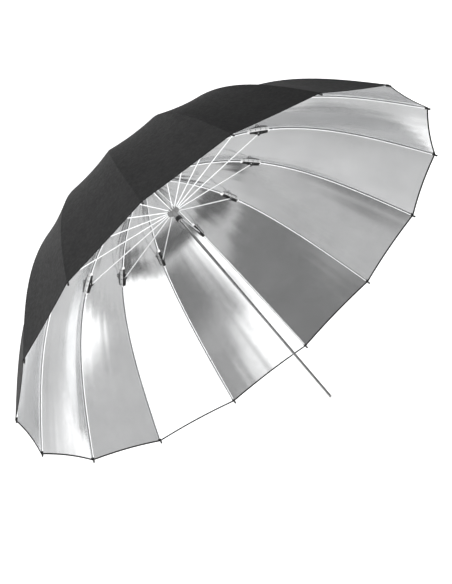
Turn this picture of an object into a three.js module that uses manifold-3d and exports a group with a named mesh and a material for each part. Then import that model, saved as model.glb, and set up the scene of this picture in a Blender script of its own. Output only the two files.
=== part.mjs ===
// A deep sixteen-rib studio umbrella reflector, in millimetres.
// The shaft lies along Y: the crown is at +Y and the open bowl faces -Y. +Z is up.
// The origin is on the shaft's axis, where a light stand's bracket grips the shaft.
import * as THREE from "three";
import { mergeVertices } from "three/addons/utils/BufferGeometryUtils.js";
import Module from "manifold-3d";

const wasm = await Module();
wasm.setup();

// ---- driving dimensions ----
const spokeCount = 16;
const halfGore = Math.PI / spokeCount;
const gap = 0.3; // between pieces that touch on the real object

const rimRadius = 800; // rib tips, from the shaft's axis
const rimY = 96; // plane of the rib tips
const bowlDepth = 484; // rim plane to the crown's hinge circle
const hingeY = rimY + bowlDepth;
const hingeRadius = 14.5; // both hinge wires, about the shaft's axis

const rodRadius = 2.1; // fibreglass ribs
const stretcherRadius = 2;
const plateThickness = 2.4; // flattened ends of ribs and stretchers
const slotWidth = 3;
const wireRadius = 0.7;
const wireHole = wireRadius + gap;
const eyeRadius = 3;
const neckLength = 13; // hinge to where a flattened end has become the round rod
const neckOverlap = 2;

const bracketRadius = 396; // where the joint sits on the rib, from the shaft's axis
const bracketWidth = 10;
const bracketInner = 34; // joint's length towards the crown
const bracketOuter = 38; // joint's length towards the tip
const bracketTop = 2; // joint's faces, above and below the rib's centre line
const bracketBase = 4.6; // where the joint's lug starts
const lugShoulder = 6; // length over which the lug narrows to the pivot
const pivotDrop = 11; // rib's centre line to the stretcher's pivot
const lugRadius = 5.5;
const rivetRadius = 1.2;
const stretcherEye = 4;
const eyeClearance = 0.8;

const capRadius = 3.2; // rib tips
const capLength = 18;
const capReach = 3; // rod's end, short of the cap's end

const clothOffset = 4.8; // rib's centre line to the inner face of the cloth
const clothThickness = 1;
const clothHole = 9; // hole at the crown, where the shaft comes through
const clothEnd = 0.985 * rimRadius;
const seamGap = 0.15; // each side of the line between two canopy sectors

const shaftOuter = 4.5;
const shaftInner = 3.5;
const shaftEndY = -381;
const shaftTopY = hingeY + 22;
const hubRadius = 20;
const hubTop = 3.4; // hub faces, above and below a hinge circle
const hubBottom = 7;
const bossRadius = 8.5;
const bossLength = 13; // crown hub's boss, below its disc
const crownPinDrop = 7; // below the disc
const slotInner = 10.5;
const grooveHalf = 1; // annular grooves that hold the hinge wires

const washerRadius = 16;
const washerThickness = 1.5;
const ferruleFlange = 11;
const ferruleHeight = 25;
const plugFace = 3; // plug's head, beyond the shaft's end
const plugDepth = 12;

const runnerSleeve = 44; // hinge circle to the sleeve's lower end
const gripLength = 14;
const gripHeight = 1.7;
const stopPinLength = 13;
const tongueWidth = 1.4; // catch blade
const toothHeight = 2.5; // stands out of the shaft
const toothLength = 7.5;
const toothRamp = 5.5; // length of the tooth's sloping side
const bladeInner = 1.3; // spine's faces, from the shaft's axis
const bladeOuter = 2.1;
const bladeTail = 46;
const bladeHead = 5;
const keyDepth = toothHeight + 1;
const pinRadius = 1.2;
const cutThrough = 100; // longer than whatever a cutter goes through

// ---- materials ----
const plain = (color, roughness, metalness = 0) =>
  new THREE.MeshStandardMaterial({ color, roughness, metalness });
const fibreglass = () => plain(0xe9ebec, 0.25);
const blackPlastic = () => plain(0x161617, 0.45);
const cloth = () => plain(0x3a3a3c, 0.7);
const steel = () => plain(0xb9bbbd, 0.3, 0.9);

// ---- joining and cutting ----
function solid(geometry) {
  const bare = geometry.clone();
  bare.deleteAttribute("normal");
  bare.deleteAttribute("uv");
  const merged = mergeVertices(bare, 1e-4);
  return new wasm.Manifold(
    new wasm.Mesh({
      numProp: 3,
      vertProperties: new Float32Array(merged.attributes.position.array),
      triVerts: new Uint32Array(merged.index.array),
    }),
  );
}

function geometryOf(body) {
  const mesh = body.getMesh();
  const geometry = new THREE.BufferGeometry();
  geometry.setAttribute("position", new THREE.BufferAttribute(mesh.vertProperties, 3));
  geometry.setIndex(new THREE.BufferAttribute(mesh.triVerts, 1));
  geometry.computeVertexNormals();
  return geometry;
}

const joined = (...geometries) => geometries.map(solid).reduce((sum, next) => sum.add(next));

function named(name, geometry, material) {
  const mesh = new THREE.Mesh(geometry, material);
  mesh.name = name;
  return mesh;
}

// ---- shapes used more than once ----

// A turned piece about the Y axis, from [radius, y] corners in order round its section.
function turned(corners, segments = 20) {
  const section = corners.map(([radius, y]) => new THREE.Vector2(radius, y));
  return new THREE.LatheGeometry([...section, section[0].clone()], segments);
}

const ring = (inner, outer, low, high, segments) =>
  turned([[inner, low], [outer, low], [outer, high], [inner, high]], segments);

// A flat plate in the plane of a rib, centred on it.
function plate(shape, thickness) {
  const flat = new THREE.ExtrudeGeometry(shape, {
    depth: thickness,
    bevelEnabled: false,
    curveSegments: 3,
  });
  return flat.translate(0, 0, -thickness / 2);
}

// A flattened rod end: an eye about the origin and a neck along +X.
function eyePlate(radius, hole, neckHalf) {
  const shoulder = Math.asin(neckHalf / radius);
  const shape = new THREE.Shape();
  shape.moveTo(neckLength, -neckHalf);
  shape.lineTo(neckLength, neckHalf);
  shape.absarc(0, 0, radius, shoulder, 2 * Math.PI - shoulder);
  shape.holes.push(new THREE.Path().absarc(0, 0, hole, 0, 2 * Math.PI));
  return plate(shape, plateThickness);
}

function roundSection(radius) {
  return new THREE.Shape().absarc(0, 0, radius, 0, 2 * Math.PI);
}

// A pin of the given length, along Z, about the origin.
const pinAlongZ = (radius, length) =>
  new THREE.CylinderGeometry(radius, radius, length, 8).rotateX(Math.PI / 2);

// ---- the bowl's profile ----

// Share of the bowl's depth that the rib has come down at a radius.
function fall(radius) {
  const s = radius / rimRadius;
  return 0.295 * s ** 2 + 1.22 * s ** 4 - 0.515 * s ** 6;
}

const ribY = (radius) => hingeY - bowlDepth * fall(radius);

// Angle by which the rib slopes down towards its tip.
function ribSlope(radius) {
  const s = radius / rimRadius;
  const steepness = 0.59 * s + 4.88 * s ** 3 - 3.09 * s ** 5;
  return Math.atan((bowlDepth / rimRadius) * steepness);
}

class RibCurve extends THREE.Curve {
  getPoint(t) {
    const start = hingeRadius + neckLength - neckOverlap;
    const radius = THREE.MathUtils.lerp(start, rimRadius - capReach, t);
    return new THREE.Vector3(radius, ribY(radius), 0);
  }
}

// ---- linkage: crown hinge, joint pivot and runner hinge make an isosceles triangle ----
const bracketSlope = ribSlope(bracketRadius);
const pivot = new THREE.Vector2(
  bracketRadius - pivotDrop * Math.sin(bracketSlope),
  ribY(bracketRadius) - pivotDrop * Math.cos(bracketSlope),
);
const runnerY = 2 * pivot.y - hingeY;
const runnerHinge = new THREE.Vector2(hingeRadius, runnerY);
const stretcherLength = pivot.distanceTo(runnerHinge);
const sleeveLowY = runnerY - runnerSleeve;

// ---- ribs ----

// The moulded joint on the rib, about the rib's centre line: +X to the tip, -Y into the bowl.
function bracket() {
  const shape = new THREE.Shape();
  shape.moveTo(-bracketInner, bracketTop);
  shape.lineTo(-bracketInner, -bracketTop);
  shape.lineTo(-lugRadius - lugShoulder, -bracketBase);
  shape.lineTo(-lugRadius, -pivotDrop);
  shape.absarc(0, -pivotDrop, lugRadius, Math.PI, 2 * Math.PI);
  shape.lineTo(lugRadius + lugShoulder, -bracketBase);
  shape.lineTo(bracketOuter, -bracketBase);
  shape.lineTo(bracketOuter, bracketTop);
  const slotTop = -pivotDrop + stretcherEye + eyeClearance;
  const slot = new THREE.BoxGeometry(cutThrough, 2 * pivotDrop, slotWidth);
  slot.translate(0, slotTop - pivotDrop, 0);
  const rivet = pinAlongZ(rivetRadius, bracketWidth).translate(0, -pivotDrop, 0);
  const forked = solid(plate(shape, bracketWidth)).subtract(solid(slot));
  return forked.add(solid(rivet));
}

function tipCap() {
  const half = capRadius / 2;
  const section = [[0, -capLength], [capRadius, -capLength], [capRadius, -half], [half, 0], [0, 0]];
  const cap = new THREE.LatheGeometry(section.map(([r, y]) => new THREE.Vector2(r, y)), 6);
  cap.rotateZ(-Math.PI / 2 - ribSlope(rimRadius));
  return cap.translate(rimRadius, rimY, 0);
}

function ribGeometry() {
  const rod = new THREE.ExtrudeGeometry(roundSection(rodRadius), {
    steps: 12,
    bevelEnabled: false,
    curveSegments: 3,
    extrudePath: new RibCurve(),
  });
  const eye = eyePlate(eyeRadius, wireHole, rodRadius - 0.2).translate(hingeRadius, hingeY, 0);
  const degrees = THREE.MathUtils.radToDeg(bracketSlope);
  const joint = bracket().rotate([0, 0, -degrees]).translate([bracketRadius, ribY(bracketRadius), 0]);
  return geometryOf(joined(rod, eye, tipCap()).add(joint));
}

// ---- stretchers, built along +X from the runner's hinge ----
function stretcherGeometry() {
  const rodLength = stretcherLength - 2 * (neckLength - neckOverlap);
  const rod = new THREE.CylinderGeometry(stretcherRadius, stretcherRadius, rodLength, 6);
  rod.rotateZ(Math.PI / 2).translate(stretcherLength / 2, 0, 0);
  const neckHalf = stretcherRadius - 0.2;
  const inner = eyePlate(eyeRadius, wireHole, neckHalf);
  const outer = eyePlate(stretcherEye, rivetRadius + gap, neckHalf);
  outer.rotateZ(Math.PI).translate(stretcherLength, 0, 0);
  return geometryOf(joined(rod, inner, outer));
}

// ---- canopy: the two half gores that meet at one rib ----

// Where a fraction along the rib, a fraction across the sector and a height off the ribs lie.
function clothPoint(along, across, height) {
  const ribRadius = THREE.MathUtils.lerp(clothHole, clothEnd, along);
  const slope = ribSlope(ribRadius);
  const radius = ribRadius + height * Math.sin(slope);
  const angle = across * (halfGore - seamGap / radius);
  // the cloth runs straight from rib to rib, so it comes nearer the shaft between them
  const chord = (radius * Math.cos(halfGore)) / Math.cos(halfGore - Math.abs(angle));
  return new THREE.Vector3(
    chord * Math.cos(angle),
    ribY(ribRadius) + height * Math.cos(slope),
    chord * Math.sin(angle),
  );
}

function canopyGeometry() {
  const sheet = new THREE.BoxGeometry(1, 1, 1, 15, 1, 2);
  const at = sheet.attributes.position;
  for (let i = 0; i < at.count; i++) {
    const height = clothOffset + (at.getY(i) + 0.5) * clothThickness;
    const point = clothPoint(at.getX(i) + 0.5, 2 * at.getZ(i), height);
    at.setXYZ(i, point.x, point.y, point.z);
  }
  sheet.computeVertexNormals();
  return sheet;
}

// ---- crown ----

// A notched disc: one slot for each rib or stretcher, and a groove for the wire they hang on.
function notched(disc, hinge) {
  const groove = ring(
    hingeRadius - grooveHalf,
    hingeRadius + grooveHalf,
    hinge - grooveHalf,
    hinge + hubTop + 1,
    24,
  );
  const slot = new THREE.BoxGeometry(hubRadius, 4 * hubBottom, slotWidth);
  slot.translate(slotInner + hubRadius / 2, hinge, 0);
  let body = disc.subtract(solid(groove));
  for (let i = 0; i < spokeCount; i++) {
    body = body.subtract(solid(slot.clone().rotateY(-2 * halfGore * i)));
  }
  return body;
}

const crownPinY = hingeY - hubBottom - crownPinDrop;

function crownHub() {
  const bore = shaftOuter + gap;
  const low = hingeY - hubBottom;
  const bossLow = low - bossLength;
  const disc = turned([
    [bore, bossLow],
    [bossRadius, bossLow],
    [bossRadius, low],
    [hubRadius, low],
    [hubRadius, hingeY + hubTop],
    [bore, hingeY + hubTop],
  ], 24);
  const pinHole = pinAlongZ(pinRadius + gap, cutThrough).translate(0, crownPinY, 0);
  return geometryOf(notched(solid(disc), hingeY).subtract(solid(pinHole)));
}

function hingeWire(y) {
  const wire = new THREE.TorusGeometry(hingeRadius, wireRadius, 5, 24);
  return wire.rotateX(Math.PI / 2).translate(0, y, 0);
}

const clothTopY = hingeY + clothOffset + clothThickness;

function crownWasher() {
  const base = clothTopY + gap;
  return ring(shaftOuter + gap, washerRadius, base, base + washerThickness);
}

function crownFerrule() {
  const base = clothTopY + 2 * gap + washerThickness;
  const bore = shaftOuter + gap;
  const section = [
    [bore, base],
    [ferruleFlange, base],
    [ferruleFlange, base + 0.12 * ferruleHeight],
    [0.73 * ferruleFlange, base + 0.2 * ferruleHeight],
    [0.62 * ferruleFlange, base + 0.8 * ferruleHeight],
    [0.41 * ferruleFlange, base + 0.96 * ferruleHeight],
    [0, base + ferruleHeight],
    [0, shaftTopY + gap],
    [bore, shaftTopY + gap],
    [bore, base],
  ];
  return new THREE.LatheGeometry(section.map(([r, y]) => new THREE.Vector2(r, y)), 20);
}

// ---- shaft ----
const stopPinY = runnerY + hubTop + gap + pinRadius;
const toothTopY = sleeveLowY - gap;

function shaftTube() {
  const tube = solid(ring(shaftInner, shaftOuter, shaftEndY, shaftTopY));
  const crownHole = pinAlongZ(pinRadius + gap, cutThrough).translate(0, crownPinY, 0);
  const stopHole = pinAlongZ(pinRadius + gap, cutThrough).translate(0, stopPinY, 0);
  const slotLength = 1.8 * toothLength;
  const catchSlot = new THREE.BoxGeometry(tongueWidth + 2 * gap, slotLength, 2 * shaftOuter);
  catchSlot.translate(0, toothTopY - toothLength / 2, shaftOuter);
  return geometryOf(tube.subtract(joined(crownHole, stopHole, catchSlot)));
}

function shaftEndPlug() {
  const inside = shaftInner - gap;
  const face = shaftEndY - plugFace;
  const section = [
    [0, face],
    [shaftOuter, face],
    [shaftOuter, shaftEndY - gap],
    [inside, shaftEndY - gap],
    [inside, shaftEndY + plugDepth],
    [0, shaftEndY + plugDepth],
  ];
  return new THREE.LatheGeometry(section.map(([r, y]) => new THREE.Vector2(r, y)), 20);
}

// ---- runner ----
function runnerBody() {
  const bore = shaftOuter + gap + 0.1;
  const low = runnerY - hubBottom;
  const disc = turned([
    [bore, sleeveLowY],
    [bossRadius, sleeveLowY],
    [bossRadius, low],
    [hubRadius, low],
    [hubRadius, runnerY + hubTop],
    [bore, runnerY + hubTop],
  ], 24);
  const keyway = new THREE.BoxGeometry(tongueWidth + 2 * gap, cutThrough, keyDepth);
  keyway.translate(0, runnerY - runnerSleeve / 2, shaftOuter + keyDepth / 2 - gap);
  return geometryOf(notched(solid(disc), runnerY).subtract(solid(keyway)));
}

function runnerGripRing() {
  const bore = bossRadius + gap;
  const low = sleeveLowY + 2;
  const high = low + gripLength;
  return turned([
    [bore, low],
    [bore + 0.7 * gripHeight, low],
    [bore + gripHeight, low + 0.2 * gripLength],
    [bore + gripHeight, high - 0.2 * gripLength],
    [bore + 0.7 * gripHeight, high],
    [bore, high],
  ]);
}

// The blade that holds the runner open: a spine inside the shaft and a tooth through its slot.
function catchBlade() {
  const outside = shaftOuter + toothHeight;
  const shape = new THREE.Shape();
  shape.moveTo(bladeInner, toothTopY - bladeTail);
  shape.lineTo(bladeOuter, toothTopY - bladeTail);
  shape.lineTo(bladeOuter, toothTopY - toothLength - 1);
  shape.lineTo(shaftOuter, toothTopY - toothLength);
  shape.lineTo(outside, toothTopY - toothLength + toothRamp);
  shape.lineTo(outside, toothTopY);
  shape.lineTo(bladeOuter, toothTopY);
  shape.lineTo(bladeOuter, toothTopY + bladeHead);
  shape.lineTo(bladeInner, toothTopY + bladeHead);
  // the plate's X becomes +Z, so that the tooth stands up out of the shaft
  return plate(shape, tongueWidth).rotateY(-Math.PI / 2);
}

// ---- assembly ----
const umbrella = new THREE.Group();

const rib = ribGeometry();
const stretcher = stretcherGeometry();
const canopy = canopyGeometry();
const stretcherTilt = Math.atan2(pivot.y - runnerHinge.y, pivot.x - runnerHinge.x);

for (let i = 0; i < spokeCount; i++) {
  const number = String(i + 1).padStart(2, "0");
  const spoke = new THREE.Group();
  spoke.rotation.y = -2 * halfGore * i;
  const strut = named(`stretcher_${number}`, stretcher, fibreglass());
  strut.position.set(runnerHinge.x, runnerHinge.y, 0);
  strut.rotation.z = stretcherTilt;
  spoke.add(named(`rib_${number}`, rib, fibreglass()), strut);
  spoke.add(named(`canopy_${number}`, canopy, cloth()));
  umbrella.add(spoke);
}

umbrella.add(
  named("shaft_tube", shaftTube(), steel()),
  named("shaft_end_plug", shaftEndPlug(), blackPlastic()),
  named("crown_hub", crownHub(), blackPlastic()),
  named("crown_hinge_wire", hingeWire(hingeY), steel()),
  named("crown_pin", pinAlongZ(pinRadius, 2 * bossRadius).translate(0, crownPinY, 0), steel()),
  named("crown_washer", crownWasher(), blackPlastic()),
  named("crown_ferrule", crownFerrule(), blackPlastic()),
  named("runner_body", runnerBody(), blackPlastic()),
  named("runner_hinge_wire", hingeWire(runnerY), steel()),
  named("runner_grip_ring", runnerGripRing(), blackPlastic()),
  named("runner_stop_pin", pinAlongZ(pinRadius, stopPinLength).translate(0, stopPinY, 0), steel()),
  named("catch_blade", catchBlade(), steel()),
);

export default umbrella;
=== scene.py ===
# A deep sixteen-rib studio umbrella reflector: the looks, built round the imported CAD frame.
# Metres. The shaft lies along Y, the crown is at +Y, the bowl opens towards -Y, and +Z is up.
import math

import bmesh
import bpy
from mathutils import Matrix, Vector


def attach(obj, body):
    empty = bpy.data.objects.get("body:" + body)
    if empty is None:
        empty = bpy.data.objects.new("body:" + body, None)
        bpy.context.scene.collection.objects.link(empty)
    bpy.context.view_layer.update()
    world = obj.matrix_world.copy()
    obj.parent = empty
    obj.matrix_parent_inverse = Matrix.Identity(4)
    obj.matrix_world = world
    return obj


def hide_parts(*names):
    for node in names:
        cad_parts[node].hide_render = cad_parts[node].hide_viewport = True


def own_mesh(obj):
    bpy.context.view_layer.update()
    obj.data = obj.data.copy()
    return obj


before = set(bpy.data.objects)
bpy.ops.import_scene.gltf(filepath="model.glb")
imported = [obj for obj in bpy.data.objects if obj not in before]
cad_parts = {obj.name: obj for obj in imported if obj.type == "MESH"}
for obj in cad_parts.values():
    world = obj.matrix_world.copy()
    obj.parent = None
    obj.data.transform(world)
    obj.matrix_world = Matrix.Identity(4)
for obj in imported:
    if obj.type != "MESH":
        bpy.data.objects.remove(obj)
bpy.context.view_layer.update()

MM = 0.001

# ---- the frame's driving dimensions ----
SPOKES = 16
HALF = math.pi / SPOKES
RIM_RADIUS = 0.8
BOWL_DEPTH = 0.484
HINGE_Y = 0.58
HINGE_RADIUS = 0.0145
NECK = 0.013  # hinge to where a flattened end has become the round rod
ROD_RADIUS = 2.1 * MM
STRETCHER_RADIUS = 2.0 * MM
JOINT_RADIUS = 0.396
PIVOT_DROP = 11 * MM
PIN_RADIUS = 1.0 * MM
EYE_RADIUS = 3.0 * MM
EYE_HALF = 1.2 * MM  # half the thickness of a flattened end
EYE_EDGE = 2.4 * MM  # hinge to where the rod starts, inside the eye
FLAT_HALF = 2.2 * MM  # half the height of a flattened end
FLAT_LENGTH = 5 * MM
ROD_SIDES = 12

# ---- the cloth ----
LINING_IN = 3.2 * MM  # rib's centre line to the lining's inner face
LINING_OUT = 3.5 * MM
CLOTH_IN = 3.6 * MM
CLOTH_OUT = 4.1 * MM
CLOTH_HOLE = 0.009
CLOTH_END = 0.993 * RIM_RADIUS
SCALLOP = 0.003  # how far the rim comes in between two tips
SAG = 0.028  # how far the cloth pulls into the bowl between two ribs, as a share of its width there
RIM_TAUT = 0.6  # share of the sag that the taut rim takes away
SEAM_HALF = 1.7 * MM
ROWS = 54
HALF_COLUMNS = 7


def fall(radius):
    """Share of the bowl's depth that a rib has come down at a radius."""
    s = radius / RIM_RADIUS
    return 0.295 * s**2 + 1.22 * s**4 - 0.515 * s**6


def rib_y(radius):
    return HINGE_Y - BOWL_DEPTH * fall(radius)


def rib_slope(radius):
    s = radius / RIM_RADIUS
    return math.atan(BOWL_DEPTH / RIM_RADIUS * (0.59 * s + 4.88 * s**3 - 3.09 * s**5))


# ---- the linkage: crown hinge, joint pivot and runner hinge make an isosceles triangle ----
JOINT_SLOPE = rib_slope(JOINT_RADIUS)
PIVOT = Vector((
    JOINT_RADIUS - PIVOT_DROP * math.sin(JOINT_SLOPE),
    rib_y(JOINT_RADIUS) - PIVOT_DROP * math.cos(JOINT_SLOPE),
))
RUNNER_Y = 2 * PIVOT.y - HINGE_Y
RUNNER_HINGE = Vector((HINGE_RADIUS, RUNNER_Y))


# ---- node materials ----
class Nodes:
    """A material's node tree, with short calls for the nodes that these materials use."""

    def __init__(self, name):
        self.material = bpy.data.materials.new(name)
        self.material.use_nodes = True
        self.tree = self.material.node_tree
        self.shader = self.tree.nodes["Principled BSDF"]

    def add(self, kind, settings=None, **inputs):
        node = self.tree.nodes.new("ShaderNode" + kind)
        for key, value in (settings or {}).items():
            setattr(node, key, value)
        for key, value in inputs.items():
            self.put(node, key.replace("_", " "), value)
        return node

    def put(self, node, socket, value):
        if isinstance(value, bpy.types.NodeSocket):
            self.tree.links.new(value, node.inputs[socket])
        else:
            node.inputs[socket].default_value = value

    def math(self, operation, a, b=0.0):
        node = self.add("Math", {"operation": operation})
        self.put(node, 0, a)
        self.put(node, 1, b)
        return node.outputs[0]

    def scaled(self, vector, by):
        node = self.add("VectorMath", {"operation": "MULTIPLY"})
        self.put(node, 0, vector)
        self.put(node, 1, by)
        return node.outputs[0]

    def place(self):
        """The piece's own coordinates, in metres."""
        return self.add("TexCoord").outputs["Object"]

    def cut(self):
        """Distances on the flat cloth, across and along the rib, in metres."""
        return self.add("UVMap", {"uv_map": "cut"}).outputs[0]

    def grain(self, vector, scale, detail=3.0, roughness=0.55):
        node = self.add("TexNoise", Scale=scale, Detail=detail, Roughness=roughness)
        self.put(node, "Vector", vector)
        return node.outputs["Fac"]

    def between(self, value, low, high, start=0.3, end=0.7):
        """The value, spread so that start gives low and end gives high."""
        node = self.add("MapRange")
        for socket, number in zip(range(5), (value, start, end, low, high)):
            self.put(node, socket, number)
        return node.outputs[0]

    def tones(self, value, low, high):
        node = self.add("ValToRGB")
        ends = node.color_ramp.elements
        for end, at, tone in zip(ends, (0.3, 0.7), (low, high)):
            end.position = at
            end.color = (*tone, 1)
        self.put(node, 0, value)
        return node.outputs[0]

    def bump(self, height, strength, distance, under=None):
        node = self.add("Bump", Strength=strength, Distance=distance, Height=height)
        if under is not None:
            self.put(node, "Normal", under)
        return node.outputs[0]

    def weave(self, vector, pitch):
        """Plain weave: threads over and under each other, 0 to 1."""
        split = self.add("SeparateXYZ", Vector=self.scaled(vector, (math.pi / pitch,) * 3))
        across = self.math("SINE", split.outputs["X"])
        along = self.math("SINE", split.outputs["Y"])
        return self.math("MULTIPLY_ADD", self.math("MULTIPLY", across, along), 0.5)

    def finish(self, **sockets):
        for key, value in sockets.items():
            self.put(self.shader, key.replace("_", " "), value)
        return self.material


def streaks(n):
    """Soft folds that run from the crown to the rim, the same on both sides of a sector's edge."""
    place = n.place()
    around = n.add("VectorMath", {"operation": "NORMALIZE"})
    n.put(around, 0, n.scaled(place, (1, 0, 1)))
    sum_of = n.add("VectorMath", {"operation": "ADD"})
    n.put(sum_of, 0, n.scaled(around.outputs[0], (22, 22, 22)))
    n.put(sum_of, 1, n.scaled(place, (0, 2.2, 0)))
    return sum_of.outputs[0]


LINING_PITCH = 0.5 * MM  # threads of each weave
CLOTH_PITCH = 0.6 * MM
TAPE_PITCH = 0.9 * MM
STITCH_ROW = 3.4 * MM  # from the seam
STITCH_HALF = 0.35 * MM
STITCH_RATE = 2100.0  # radians per metre, for stitches 3 mm long


def silver_lining():
    n = Nodes("silver_lining")
    place = n.place()
    folds = n.grain(streaks(n), 1.0, 0.0)
    soft = n.bump(folds, 0.3, 2.0 * MM)
    soft = n.bump(n.grain(place, 6.0, 0.0), 0.45, 5.0 * MM, soft)
    fine = n.bump(n.weave(n.cut(), LINING_PITCH), 0.03, 0.04 * MM, soft)
    rough = n.between(n.grain(place, 55.0, 4.0), 0.12, 0.18)
    tone = n.tones(n.grain(place, 9.0), (0.66, 0.665, 0.67), (0.74, 0.745, 0.75))
    return n.finish(Base_Color=tone, Metallic=0.9, Roughness=rough, Normal=fine)


def black_cloth():
    n = Nodes("black_cloth")
    place, cut = n.place(), n.cut()
    across = n.math("ABSOLUTE", n.add("SeparateXYZ", Vector=cut).outputs["X"])
    seam = n.between(across, 1.0, 0.0, 4.5 * MM, 5.2 * MM)
    row = n.math("COMPARE", across, STITCH_ROW)
    row.node.inputs[2].default_value = STITCH_HALF
    along = n.add("SeparateXYZ", Vector=cut).outputs["Y"]
    stitch = n.math("SINE", n.math("MULTIPLY", along, STITCH_RATE))
    thread = n.math("MULTIPLY", row, n.between(stitch, 0.0, 1.0, -0.2, 0.2))
    soft = n.bump(n.grain(streaks(n), 1.0, 2.0), 0.3, 1.5 * MM)
    raised = n.bump(n.math("ADD", seam, thread), 0.6, 0.35 * MM, soft)
    fine = n.bump(n.weave(cut, CLOTH_PITCH), 0.35, 0.12 * MM, raised)
    rough = n.between(n.grain(place, 90.0, 4.0), 0.6, 0.72)
    tone = n.tones(n.grain(place, 14.0, 4.0), (0.009, 0.009, 0.0095), (0.014, 0.014, 0.0145))
    return n.finish(Base_Color=tone, Roughness=rough, Normal=fine, Specular_IOR_Level=0.15)


def seam_tape():
    n = Nodes("seam_tape")
    fine = n.bump(n.weave(n.cut(), TAPE_PITCH), 0.5, 0.15 * MM)
    tone = n.tones(n.grain(n.place(), 60.0), (0.035, 0.035, 0.037), (0.06, 0.06, 0.063))
    rough = n.between(n.grain(n.place(), 200.0), 0.55, 0.7)
    return n.finish(Base_Color=tone, Roughness=rough, Normal=fine)


def white_fibreglass():
    n = Nodes("white_fibreglass")
    place = n.place()
    fibres = n.grain(n.scaled(place, (40, 40, 700)), 1.0, 4.0)
    tone = n.tones(n.grain(place, 30.0), (0.80, 0.81, 0.82), (0.90, 0.905, 0.91))
    rough = n.between(fibres, 0.16, 0.30)
    return n.finish(
        Base_Color=tone,
        Roughness=rough,
        Normal=n.bump(fibres, 0.15, 0.1 * MM),
        Coat_Weight=0.5,
        Coat_Roughness=0.12,
    )


def moulded(name, low, high, smooth, rough_to):
    n = Nodes(name)
    place = n.place()
    pitted = n.grain(place, 1400.0, 2.0)
    rough = n.between(n.grain(place, 180.0, 4.0), smooth, rough_to)
    tone = n.tones(n.grain(place, 70.0, 4.0), (low,) * 3, (high,) * 3)
    grained = n.bump(pitted, 0.25, 0.08 * MM)
    return n.finish(Base_Color=tone, Roughness=rough, Normal=grained)


def drawn_metal(name, low, high, smooth, rough_to, along=(900, 14, 900)):
    n = Nodes(name)
    place = n.place()
    lines = n.grain(n.scaled(place, along), 1.0, 4.0)
    rough = n.between(lines, smooth, rough_to)
    tone = n.tones(n.grain(place, 45.0, 4.0), (low,) * 3, (high,) * 3)
    scored = n.bump(lines, 0.2, 0.05 * MM)
    return n.finish(Base_Color=tone, Metallic=1.0, Roughness=rough, Normal=scored)


SILVER = silver_lining()
BLACK_CLOTH = black_cloth()
TAPE = seam_tape()
WHITE = white_fibreglass()
BLACK = moulded("black_plastic", 0.010, 0.018, 0.28, 0.42)
GREY = moulded("grey_plastic", 0.20, 0.27, 0.35, 0.5)
THREAD = moulded("sewing_thread", 0.55, 0.75, 0.5, 0.7)
CLAMP_WHITE = moulded("white_plastic", 0.78, 0.9, 0.3, 0.45)
SHAFT = drawn_metal("shaft_metal", 0.42, 0.54, 0.12, 0.22)
STEEL = drawn_metal("steel", 0.78, 0.88, 0.2, 0.32, (300, 300, 300))


# ---- mesh building ----
def object_of(name, mesh, materials):
    for material in materials:
        mesh.materials.append(material)
    piece = bpy.data.objects.new(name, mesh)
    bpy.context.scene.collection.objects.link(piece)
    return piece


def spoke_matrix(index):
    """From a spoke's own frame, with X out along the rib, to the model's frame."""
    return Matrix.Rotation(-2 * HALF * index, 4, "Y")


def quads_between(first, second):
    count = len(first)
    after = [(i + 1) % count for i in range(count)]
    return [(first[i], first[j], second[j], second[i]) for i, j in enumerate(after)]


class Builder:
    """Collects closed shells with a material each, then makes one mesh of them."""

    def __init__(self):
        self.bm = bmesh.new()

    def shell(self, rings, material, matrix, closed_path=False):
        """A skin over rings of points. Its ends are capped, or joined when the path is closed."""
        verts = [[self.bm.verts.new(matrix @ Vector(p)) for p in ring] for ring in rings]
        following = verts[1:] + verts[:1] if closed_path else verts[1:]
        faces = []
        for a, b in zip(verts, following):
            faces += [self.bm.faces.new(quad) for quad in quads_between(a, b)]
        if not closed_path:
            faces += [self.bm.faces.new(verts[0]), self.bm.faces.new(verts[-1])]
        for face in faces:
            face.material_index = material
            face.smooth = True
        bmesh.ops.recalc_face_normals(self.bm, faces=faces)
        return faces

    def turned(self, section, matrix, material=0, segments=20):
        """Turned about the local Z axis from (radius, z) corners. Radius 0 is kept just open."""
        turn = [2 * math.pi * k / segments for k in range(segments)]
        rings = []
        for radius, z in section:
            r = max(radius, 0.02 * MM)
            rings.append([(r * math.cos(a), r * math.sin(a), z) for a in turn])
        closed = section[0] == section[-1]
        self.shell(rings[:-1] if closed else rings, material, matrix, closed)

    def plate(self, outline, low, high, matrix, material=0, bevel=0.5 * MM):
        """An outline in local X and Y, between two heights on local Z, with rounded edges."""
        rings = [[(x, y, z) for x, y in outline] for z in (low, high)]
        faces = self.shell(rings, material, matrix)
        edges = list({edge for face in faces for edge in face.edges})
        made = bmesh.ops.bevel(
            self.bm,
            geom=edges,
            offset=bevel,
            segments=2,
            profile=0.6,
            affect="EDGES",
            clamp_overlap=True,
        )
        for face in made["faces"]:
            face.material_index = material
            face.smooth = True

    def mesh(self, name, sharp=35.0):
        made = bpy.data.meshes.new(name)
        self.bm.to_mesh(made)
        self.bm.free()
        made.set_sharp_from_angle(angle=math.radians(sharp))
        return made


def ellipse(half_across, half_up):
    turn = [2 * math.pi * k / ROD_SIDES for k in range(ROD_SIDES)]
    return [(half_up * math.cos(a), half_across * math.sin(a)) for a in turn]


def rod_rings(points, sizes):
    """Rings round a path in the local XY plane. Each size is half the width along Z and half
    the height in the plane."""
    rings = []
    for i, point in enumerate(points):
        before, after = points[max(i - 1, 0)], points[min(i + 1, len(points) - 1)]
        ahead = (after - before).normalized()
        up = Vector((-ahead.y, ahead.x))
        section = ellipse(*sizes[i])
        rings.append([(point.x + up.x * h, point.y + up.y * h, w) for h, w in section])
    return rings


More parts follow.
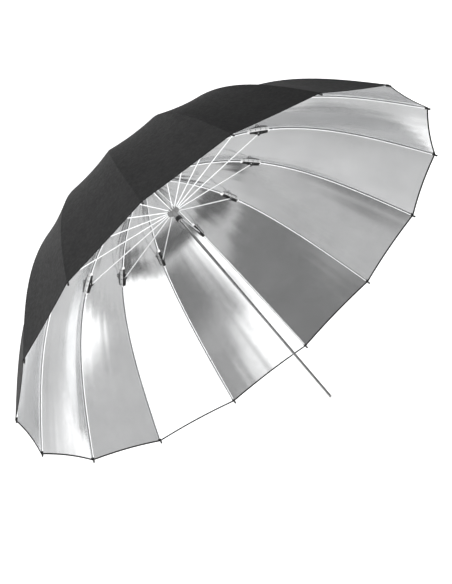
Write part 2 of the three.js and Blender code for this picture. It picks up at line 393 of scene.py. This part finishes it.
# ---- cloth ----
def cloth_point(radius, angle, height):
    """A point of the canopy in a spoke's frame, from the radius on its rib and the angle off it."""
    slope = rib_slope(radius)
    across = abs(angle) / (2 * HALF)
    taut = 1 - RIM_TAUT * min(radius / RIM_RADIUS, 1.0) ** 6
    pulled = SAG * taut * 2 * HALF * radius * 4 * across * (1 - across)
    lift = height - pulled
    straight = radius * math.cos(HALF) / math.cos(HALF - abs(angle))
    out = straight + lift * math.sin(slope)
    return Vector((
        out * math.cos(angle),
        rib_y(radius) + lift * math.cos(slope),
        out * math.sin(angle),
    ))


def rim_at(angle):
    across = abs(angle) / (2 * HALF)
    return CLOTH_END - SCALLOP * 4 * across * (1 - across)


def cloth_normal(radius, angle, height):
    """Away from the bowl's inside, level across a sector's edge, and halfway at the rib."""
    step = 1e-4
    side = 1 if angle >= 0 else -1
    along = cloth_point(radius + step, angle, height) - cloth_point(radius - step, angle, height)
    if abs(angle) < 1e-9:
        across = Vector((0, 0, 1))
    elif abs(angle) > HALF - 1e-6:
        across = Vector((-math.sin(angle), 0, math.cos(angle)))
        along -= across * along.dot(across)
    else:
        nearer = cloth_point(radius, angle - side * step, height)
        across = (cloth_point(radius, angle, height) - nearer) * side
    normal = across.cross(along).normalized()
    return normal if normal.y + normal.x > 0 else -normal


def columns(radius):
    """Angles across a sector at a radius: the seam's edges keep their distance from the rib."""
    seam = min(SEAM_HALF / radius, 0.45 * HALF)
    outer = [seam + (HALF - seam) * k / HALF_COLUMNS for k in range(HALF_COLUMNS + 1)]
    return [-a for a in reversed(outer)] + [0.0] + outer


def rib_length(radius):
    steps = 24
    total, last = 0.0, Vector((0, rib_y(0)))
    for k in range(1, steps + 1):
        r = radius * k / steps
        point = Vector((r, rib_y(r)))
        total += (point - last).length
        last = point
    return total


def sector(name, index, low, high, materials, taped):
    """One sector of a cloth layer: a closed sheet between two heights off the rib."""
    turn = spoke_matrix(index)
    width = 2 * (HALF_COLUMNS + 1) + 1
    shares = [(k / (ROWS - 1)) ** 0.92 for k in range(ROWS)]
    verts, normals, cuts, faces, tape = [], [], [], [], []
    for height, facing in ((low, -1), (high, 1)):
        for share in shares:
            for angle in columns(CLOTH_HOLE + share * (CLOTH_END - CLOTH_HOLE)):
                radius = CLOTH_HOLE + share * (rim_at(angle) - CLOTH_HOLE)
                verts.append(turn @ cloth_point(radius, angle, height))
                normals.append(turn @ (cloth_normal(radius, angle, height) * facing))
                cuts.append((radius * angle, rib_length(radius)))
    layer = ROWS * width

    def at(row, column):
        return row * width + column

    middle = width // 2
    for row in range(ROWS - 1):
        for c in range(width - 1):
            quad = [at(row, c), at(row + 1, c), at(row + 1, c + 1), at(row, c + 1)]
            faces += [quad, [v + layer for v in reversed(quad)]]
            tape += [taped and c in (middle - 1, middle)] * 2
    border = [at(0, c) for c in range(width)]
    border += [at(r, width - 1) for r in range(1, ROWS)]
    border += [at(ROWS - 1, c) for c in range(width - 2, -1, -1)]
    border += [at(r, 0) for r in range(ROWS - 2, 0, -1)]
    for a, b in zip(border, border[1:] + border[:1]):
        faces.append([a, b, b + layer, a + layer])
        tape.append(False)
    mesh = bpy.data.meshes.new(name)
    mesh.from_pydata(verts, [], faces)
    for polygon, on_tape in zip(mesh.polygons, tape):
        polygon.use_smooth = True
        polygon.material_index = 1 if on_tape else 0
    flat = mesh.uv_layers.new(name="cut")
    for loop, item in zip(mesh.loops, flat.data):
        item.uv = cuts[loop.vertex_index]
    mesh.normals_split_custom_set_from_vertices(normals)
    area = sum(p.area for p in mesh.polygons) / 2
    return object_of(name, mesh, materials), area


def hem(name, index):
    """The binding that is folded round the rim."""
    turn = spoke_matrix(index)
    steps = 16
    inside, outside = LINING_IN - 0.5 * MM, CLOTH_OUT + 0.5 * MM
    # millimetres past the cloth's edge, and height off the rib
    section = [(-1.2, inside), (-0.4, inside - 0.2 * MM), (0.5, inside)]
    section += [(0.7, (inside + outside) / 2)]
    section += [(0.5, outside), (-2, outside + 0.2 * MM), (-4.5, outside)]
    rings = []
    for k in range(steps + 1):
        angle = -HALF + 2 * HALF * k / steps
        rim = rim_at(angle)
        rings.append([cloth_point(rim + past * MM, angle, height) for past, height in section])
    builder = Builder()
    builder.shell(rings, 0, turn)
    mesh = builder.mesh(name, 50)
    flat = mesh.uv_layers.new(name="cut")
    for loop, item in zip(mesh.loops, flat.data):
        point = mesh.vertices[loop.vertex_index].co
        item.uv = (point.x + point.z, point.y)
    return object_of(name, mesh, [BLACK_CLOTH])


def fold_with_rib(piece, number):
    """The cloth gets a mesh of its own and moves with its rib's spoke."""
    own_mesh(piece)
    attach(piece, f"spoke_{number}")


def canopy(number, index):
    names = [f"canopy_{layer}_{number}" for layer in ("outer", "silver", "hem")]
    outer, area = sector(names[0], index, CLOTH_IN, CLOTH_OUT, [BLACK_CLOTH], False)
    lining, _ = sector(names[1], index, LINING_IN, LINING_OUT, [SILVER, TAPE], True)
    binding = hem(names[2], index)
    slots = ("canopy_cloth", "silver_lining", "canopy_cloth")
    for piece, slot in zip((outer, lining, binding), slots):
        fold_with_rib(piece, number)
    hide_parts(f"canopy_{number}")
    rib_length(CLOTH_END) - CLOTH_HOLE


# ---- ribs ----
def rib_frame(radius):
    """At a radius on the rib: X to the tip, Y away from the bowl's inside, Z across."""
    slope = rib_slope(radius)
    return Matrix.Translation((radius, rib_y(radius), 0)) @ Matrix.Rotation(-slope, 4, "Z")


ABOUT_X = Matrix.Rotation(math.pi / 2, 4, "Y")
EYE = [(PIN_RADIUS, -EYE_HALF), (EYE_RADIUS, -EYE_HALF), (EYE_RADIUS, EYE_HALF)]
EYE += [(PIN_RADIUS, EYE_HALF), (PIN_RADIUS, -EYE_HALF)]


def in_mm(section):
    return [(a * MM, b * MM) for a, b in section]


def bar_size(distance, full):
    """Half sizes of a rod whose end is pressed flat, at a distance from the hinge."""
    share = min(max((distance - FLAT_LENGTH) / (NECK - FLAT_LENGTH), 0), 1)
    share = share * share * (3 - 2 * share)
    return (EYE_HALF + (full - EYE_HALF) * share, FLAT_HALF + (full - FLAT_HALF) * share)


TIP_TAPER = 0.16  # share of its radius that the rib loses from the joint to the tip
COLLAR_PLACE = 0.045  # out along the rib from the joint
COLLAR = in_mm([(2.0, -3.2), (2.75, -3.0), (2.95, -2.0), (2.95, 2.0), (2.75, 3.0), (2.0, 3.2)])
COLLAR += COLLAR[:1]


def rib_rod(number, index):
    turn = spoke_matrix(index)
    builder = Builder()
    start, end = HINGE_RADIUS + EYE_EDGE, RIM_RADIUS - 4 * MM
    neck = [start + (NECK - EYE_EDGE) * k / 6 for k in range(6)]
    span = end - HINGE_RADIUS - NECK
    radii = neck + [HINGE_RADIUS + NECK + span * k / 60 for k in range(61)]
    points = [Vector((r, rib_y(r))) for r in radii]
    sizes = []
    for r in radii:
        past_joint = max(0, r - JOINT_RADIUS) / (RIM_RADIUS - JOINT_RADIUS)
        sizes.append(bar_size(r - HINGE_RADIUS, ROD_RADIUS * (1 - TIP_TAPER * past_joint)))
    builder.shell(rod_rings(points, sizes), 0, turn)
    builder.turned(EYE, turn @ Matrix.Translation((HINGE_RADIUS, HINGE_Y, 0)))
    builder.turned(COLLAR, turn @ rib_frame(JOINT_RADIUS + COLLAR_PLACE) @ ABOUT_X)
    name = f"rib_rod_{number}"
    rod = object_of(name, builder.mesh(name), [WHITE])
    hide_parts(f"rib_{number}")
    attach(rod, f"spoke_{number}")


RIB_BEND = 1.8  # the rib's curvature at the joint, per metre

# the joint's pieces in side view, in millimetres: along the rib to the tip, and away from the bowl
CHEEK = [(-26, -3.2), (-26, -4.4), (-16, -5.6), (-9, -8.0), (-5.4, -11.4), (-3.6, -15.4)]
CHEEK += [(0, -16.4), (3.6, -15.4), (5.6, -12.2), (11, -10.2), (24, -9.0), (32, -7.0), (32, -3.2)]
BRIDGE = [(-27, -3.0), (-25, -4.8), (8, -6.2), (32, -5.8), (33, -3.0)]
CLAMP = [(-34, -1.2), (-34, 1.6), (-30, 2.6), (-10, 2.8), (14, 2.8), (34, 2.6), (38, 1.8)]
CLAMP += [(38, -1.6), (34, -3.4), (14, -3.6), (-10, -3.5), (-28, -2.6)]
CHEEK_INNER = 1.6 * MM  # half widths
CHEEK_OUTER = 4.6 * MM
BRIDGE_HALF = 4.9 * MM
CLAMP_HALF = 4.6 * MM
CLAMP_PINS = (-22.0, -6.0, 10.0, 27.0)  # millimetres along the rib from the joint
TIE_RADII = (0.3, 0.615, 0.7)  # where thread holds the cloth to the rib
TIE_TURNS = (-0.9, 0.0, 0.9)
CAP = [(1.7, -18.0), (2.7, -18.0), (3.0, -17.2), (3.0, -12.5), (2.6, -12.0), (2.6, -10.8)]
CAP += [(3.0, -10.3), (3.1, -3.4), (2.9, -1.6), (2.1, -0.5), (0.0, -0.1)]
CAP = in_mm(CAP)  # radius, and distance before the tip


def along_rib(outline):
    """A side view in millimetres, bent to lie along the rib at its joint."""
    return [(x * MM, y * MM - RIB_BEND / 2 * (x * MM) ** 2) for x, y in outline]


def rivet(builder, matrix, half, radius, material):
    """A pin across the joint, with a domed head at both ends."""
    dome = [(0, half + 0.9 * MM), (0.55 * radius, half + 0.7 * MM)]
    dome += [(0.95 * radius, half + 0.2 * MM), (radius, half - 0.4 * MM)]
    section = dome + [(r, -z) for r, z in reversed(dome)]
    builder.turned(section, matrix, material, 14)


def rib_fittings(number, index):
    """The moulded joint and its clamp, their rivets, the thread ties and the tip cap."""
    black, steel, thread, white = range(4)
    turn = spoke_matrix(index)
    joint = turn @ rib_frame(JOINT_RADIUS)
    builder = Builder()
    for low, high in ((CHEEK_INNER, CHEEK_OUTER), (-CHEEK_OUTER, -CHEEK_INNER)):
        builder.plate(along_rib(CHEEK), low, high, joint, black)
    builder.plate(along_rib(BRIDGE), -BRIDGE_HALF, BRIDGE_HALF, joint, black)
    builder.plate(along_rib(CLAMP), -CLAMP_HALF, CLAMP_HALF, joint, white, 0.8 * MM)
    for x, y in along_rib([(along, 0) for along in CLAMP_PINS]):
        rivet(builder, joint @ Matrix.Translation((x, y, 0)), CLAMP_HALF, 1.4 * MM, black)
    pivot = joint @ Matrix.Translation((0, -PIVOT_DROP, 0))
    rivet(builder, pivot, CHEEK_OUTER, 2.4 * MM, steel)
    for radius in TIE_RADII:
        for shift in TIE_TURNS:
            loop = [(2.0, -0.35), (2.55, -0.35), (2.75, 0), (2.55, 0.35), (2.0, 0.35)]
            loop = in_mm([(r, z + shift) for r, z in loop])
            builder.turned(loop + loop[:1], turn @ rib_frame(radius) @ ABOUT_X, thread, 14)
    builder.turned(CAP, turn @ rib_frame(RIM_RADIUS) @ ABOUT_X, black, 18)
    name = f"rib_fittings_{number}"
    fittings = object_of(name, builder.mesh(name), [BLACK, STEEL, THREAD, CLAMP_WHITE])
    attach(fittings, f"spoke_{number}")


# ---- stretchers ----
def stretcher_rod(number, index):
    turn = spoke_matrix(index)
    builder = Builder()
    line = PIVOT - RUNNER_HINGE
    length = line.length
    ahead = line / length
    ends = [EYE_EDGE + (NECK - EYE_EDGE) * k / 6 for k in range(7)]
    middle = [NECK + (length - 2 * NECK) * k / 12 for k in range(1, 12)]
    places = ends + middle + [length - d for d in reversed(ends)]
    points = [RUNNER_HINGE + ahead * d for d in places]
    sizes = [bar_size(min(d, length - d), STRETCHER_RADIUS) for d in places]
    builder.shell(rod_rings(points, sizes), 0, turn)
    for end in (RUNNER_HINGE, PIVOT):
        builder.turned(EYE, turn @ Matrix.Translation((end.x, end.y, 0)))
    name = f"stretcher_rod_{number}"
    rod = object_of(name, builder.mesh(name), [WHITE])
    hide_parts(f"stretcher_{number}")
    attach(rod, f"strut_{number}")


# ---- CAD nodes that are shown as they are ----
def refinish(node, material, sharp=32.0):
    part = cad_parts[node]
    part.data.materials.clear()
    part.data.materials.append(material)
    part.data.shade_smooth()
    part.data.set_sharp_from_angle(angle=math.radians(sharp))


# ---- studio ----
FLOOR_HEIGHT = -2.2
FLOOR_HALF = 5.5
# painted shade: a dark strip painted on the floor paper, which the silver mirrors as a dark band
# near the crown
SHADE_STRIP_SIDES = (-0.6, 1.9)  # the floor's dark strip, in X
SHADE_STRIP_EDGE = (-2.9, -3.4)  # where it darkens, in Y
# painted light: the strength of the floor's emission glow, which stands in for lamp light falling
# on the floor
CROWN_PAINTED_GLOW = 0.75
FAR_PAINTED_GLOW = 0.15
HOUSE_LIGHT = 0.6
KEY_PLACE = (-30, 48)  # azimuth and elevation
KEY_DISTANCE = 2.4
KEY_SIZE = 1.3
KEY_POWER = 62


class Smooth:
    """Soft-edged selections in a node tree."""

    def __init__(self, tree):
        self.tree = tree

    def math(self, operation, *values):
        made = self.tree.nodes.new("ShaderNodeMath")
        made.operation = operation
        for socket, value in enumerate(values):
            if isinstance(value, bpy.types.NodeSocket):
                self.tree.links.new(value, made.inputs[socket])
            else:
                made.inputs[socket].default_value = value
        return made.outputs[0]

    def step(self, value, start, end):
        """0 before start and 1 after end."""
        made = self.tree.nodes.new("ShaderNodeMapRange")
        made.interpolation_type = "SMOOTHSTEP"
        self.tree.links.new(value, made.inputs[0])
        made.inputs[1].default_value = start
        made.inputs[2].default_value = end
        return made.outputs[0]

    def band(self, value, low, high, soft):
        rise = self.step(value, low - soft, low + soft)
        drop = self.step(value, high - soft, high + soft)
        return self.math("MULTIPLY", rise, self.math("SUBTRACT", 1.0, drop))

    def towards(self, value, target, share):
        """value moved by share towards target."""
        gap = self.math("SUBTRACT", target, value)
        return self.math("ADD", value, self.math("MULTIPLY", gap, share))


def floor():
    """Pale paper with painted light: an emission glow on the crown's side and the far side that
    stands in for lamp light falling there, and a painted dark strip in front of the bowl's mouth
    that the silver mirrors as shade.
    """
    half = FLOOR_HALF
    mesh = bpy.data.meshes.new("studio_floor")
    corners = [(-half, -half), (half, -half), (half, half), (-half, half)]
    mesh.from_pydata([(x, y, FLOOR_HEIGHT) for x, y in corners], [], [(0, 1, 2, 3)])
    n = Nodes("floor_paper")
    soft = Smooth(n.tree)
    x, y, _ = n.add("SeparateXYZ", Vector=n.place()).outputs
    # painted shade: the floor's tone goes dark in this strip so that the silver mirrors shade there
    painted_shade_strip = n.math("MULTIPLY", soft.band(x, *SHADE_STRIP_SIDES, 0.3), soft.step(y, *SHADE_STRIP_EDGE))
    paper_tone = n.between(n.grain(n.place(), 3.0), 0.88, 0.92)
    tone = soft.towards(paper_tone, 0.1, painted_shade_strip)
    # painted light: an emission glow on the crown's side and the far side, a pool of lamp light
    # painted onto the floor
    behind = n.math("ADD", n.math("MULTIPLY", x, 0.59), n.math("MULTIPLY", y, 0.81))
    crown_band = soft.band(behind, -0.1, 3.2, 0.12)
    crown_side = n.math("MULTIPLY", crown_band, soft.step(y, -0.9, -0.5))
    far_side = n.math("MULTIPLY", soft.step(x, 0.6, 2.2), FAR_PAINTED_GLOW)
    painted_glow = n.math("ADD", n.math("MULTIPLY", crown_side, CROWN_PAINTED_GLOW), far_side)
    paper = n.finish(
        Base_Color=tone,
        Roughness=0.9,
        Emission_Color=(1, 1, 1, 1),
        Emission_Strength=painted_glow,
    )
    object_of("studio_floor", mesh, [paper])


def direction(azimuth, elevation):
    """From the object, azimuth 0 is -Y and 90 is +X, in degrees."""
    a, e = math.radians(azimuth), math.radians(elevation)
    return Vector((math.sin(a) * math.cos(e), -math.cos(a) * math.cos(e), math.sin(e)))


# Soft boxes and flags round the umbrella. Each is its azimuths in degrees, its heights (the sine
# of the elevation), the softness of both, and its radiance. A later one covers an earlier one.
PANELS = (
    ((-190, 190), (0.6, 1.5), (7, 0.2), 0.25),
    ((-172, -95), (-0.6, 0.5), (8, 0.1), 1.3),
    ((164, 190), (-0.6, 0.5), (4, 0.1), 2.1),
    ((-196, -170), (-0.6, 0.5), (4, 0.1), 2.1),
    ((118, 160), (-0.6, 0.3), (4, 0.1), 0.12),
    ((-60, 3), (0.02, 0.54), (6, 0.06), 0.18),
    ((-8, 27), (-0.5, -0.1), (6, 0.05), 0.06),
    ((-2, 50), (0.63, 0.85), (5, 0.05), 2.2),
    ((11, 50), (-0.05, 0.75), (6, 0.06), 2.2),
)


def studio_world():
    """Even pale light, with the soft boxes and flags that the silver mirrors."""
    world = bpy.data.worlds.new("studio")
    bpy.context.scene.world = world
    world.use_nodes = True
    tree = world.node_tree
    soft = Smooth(tree)
    split = tree.nodes.new("ShaderNodeSeparateXYZ")
    tree.links.new(tree.nodes.new("ShaderNodeTexCoord").outputs["Generated"], split.inputs[0])
    x, y, z = split.outputs
    azimuth = soft.math("ARCTAN2", x, soft.math("MULTIPLY", y, -1.0))
    light = HOUSE_LIGHT
    for (left, right), heights, (side_soft, height_soft), radiance in PANELS:
        across = soft.band(azimuth, *map(math.radians, (left, right, side_soft)))
        up = soft.band(z, *heights, height_soft)
        light = soft.towards(light, radiance, soft.math("MULTIPLY", across, up))
    tree.links.new(light, tree.nodes["Background"].inputs["Strength"])
    tree.nodes["Background"].inputs["Color"].default_value = (1, 1, 1, 1)


CAMERA_LENS = 125.09
CAMERA_AIM = Vector((-0.0343, 0.0965, -0.0114))
CAMERA_PLACE = (-35.50, 59.76)  # azimuth and elevation
CAMERA_DISTANCE = 6.2226
CAMERA_ROLL = -0.763


def camera():
    data = bpy.data.cameras.new("camera")
    data.lens = CAMERA_LENS
    data.sensor_width = 36.0
    eye = bpy.data.objects.new("camera", data)
    towards = direction(*CAMERA_PLACE)
    level = (-towards).to_track_quat("-Z", "Y")
    eye.matrix_world = (
        Matrix.Translation(CAMERA_AIM + towards * CAMERA_DISTANCE)
        @ level.to_matrix().to_4x4()
        @ Matrix.Rotation(math.radians(CAMERA_ROLL), 4, "Z")
    )
    bpy.context.scene.collection.objects.link(eye)
    bpy.context.scene.camera = eye


def key_light():
    """A large round lamp that lights what is matt. Nothing mirrors it."""
    light = bpy.data.lights.new("key", "AREA")
    light.shape = "DISK"
    light.size = KEY_SIZE
    light.energy = KEY_POWER
    key = bpy.data.objects.new("key", light)
    aim = Vector((0, 0.3, 0))
    place = direction(*KEY_PLACE) * KEY_DISTANCE
    key.location = aim + place
    key.rotation_euler = (-place).to_track_quat("-Z", "Y").to_euler()
    key.visible_camera = False
    key.visible_glossy = False
    bpy.context.scene.collection.objects.link(key)


# ---- the whole scene ----
camera()
for spoke in range(SPOKES):
    label = f"{spoke + 1:02d}"
    canopy(label, spoke)
    rib_rod(label, spoke)
    rib_fittings(label, spoke)
    stretcher_rod(label, spoke)

for node, finish in {
    "shaft_tube": SHAFT,
    "shaft_end_plug": GREY,
    "crown_hub": BLACK,
    "crown_hinge_wire": STEEL,
    "crown_pin": STEEL,
    "crown_washer": BLACK,
    "crown_ferrule": BLACK,
    "runner_body": GREY,
    "runner_hinge_wire": STEEL,
    "runner_grip_ring": BLACK,
    "runner_stop_pin": STEEL,
    "catch_blade": STEEL,
}.items():
    refinish(node, finish)

floor()
studio_world()
key_light()
bpy.context.scene.view_settings.view_transform = "Standard"
bpy.context.scene.view_settings.look = "None"
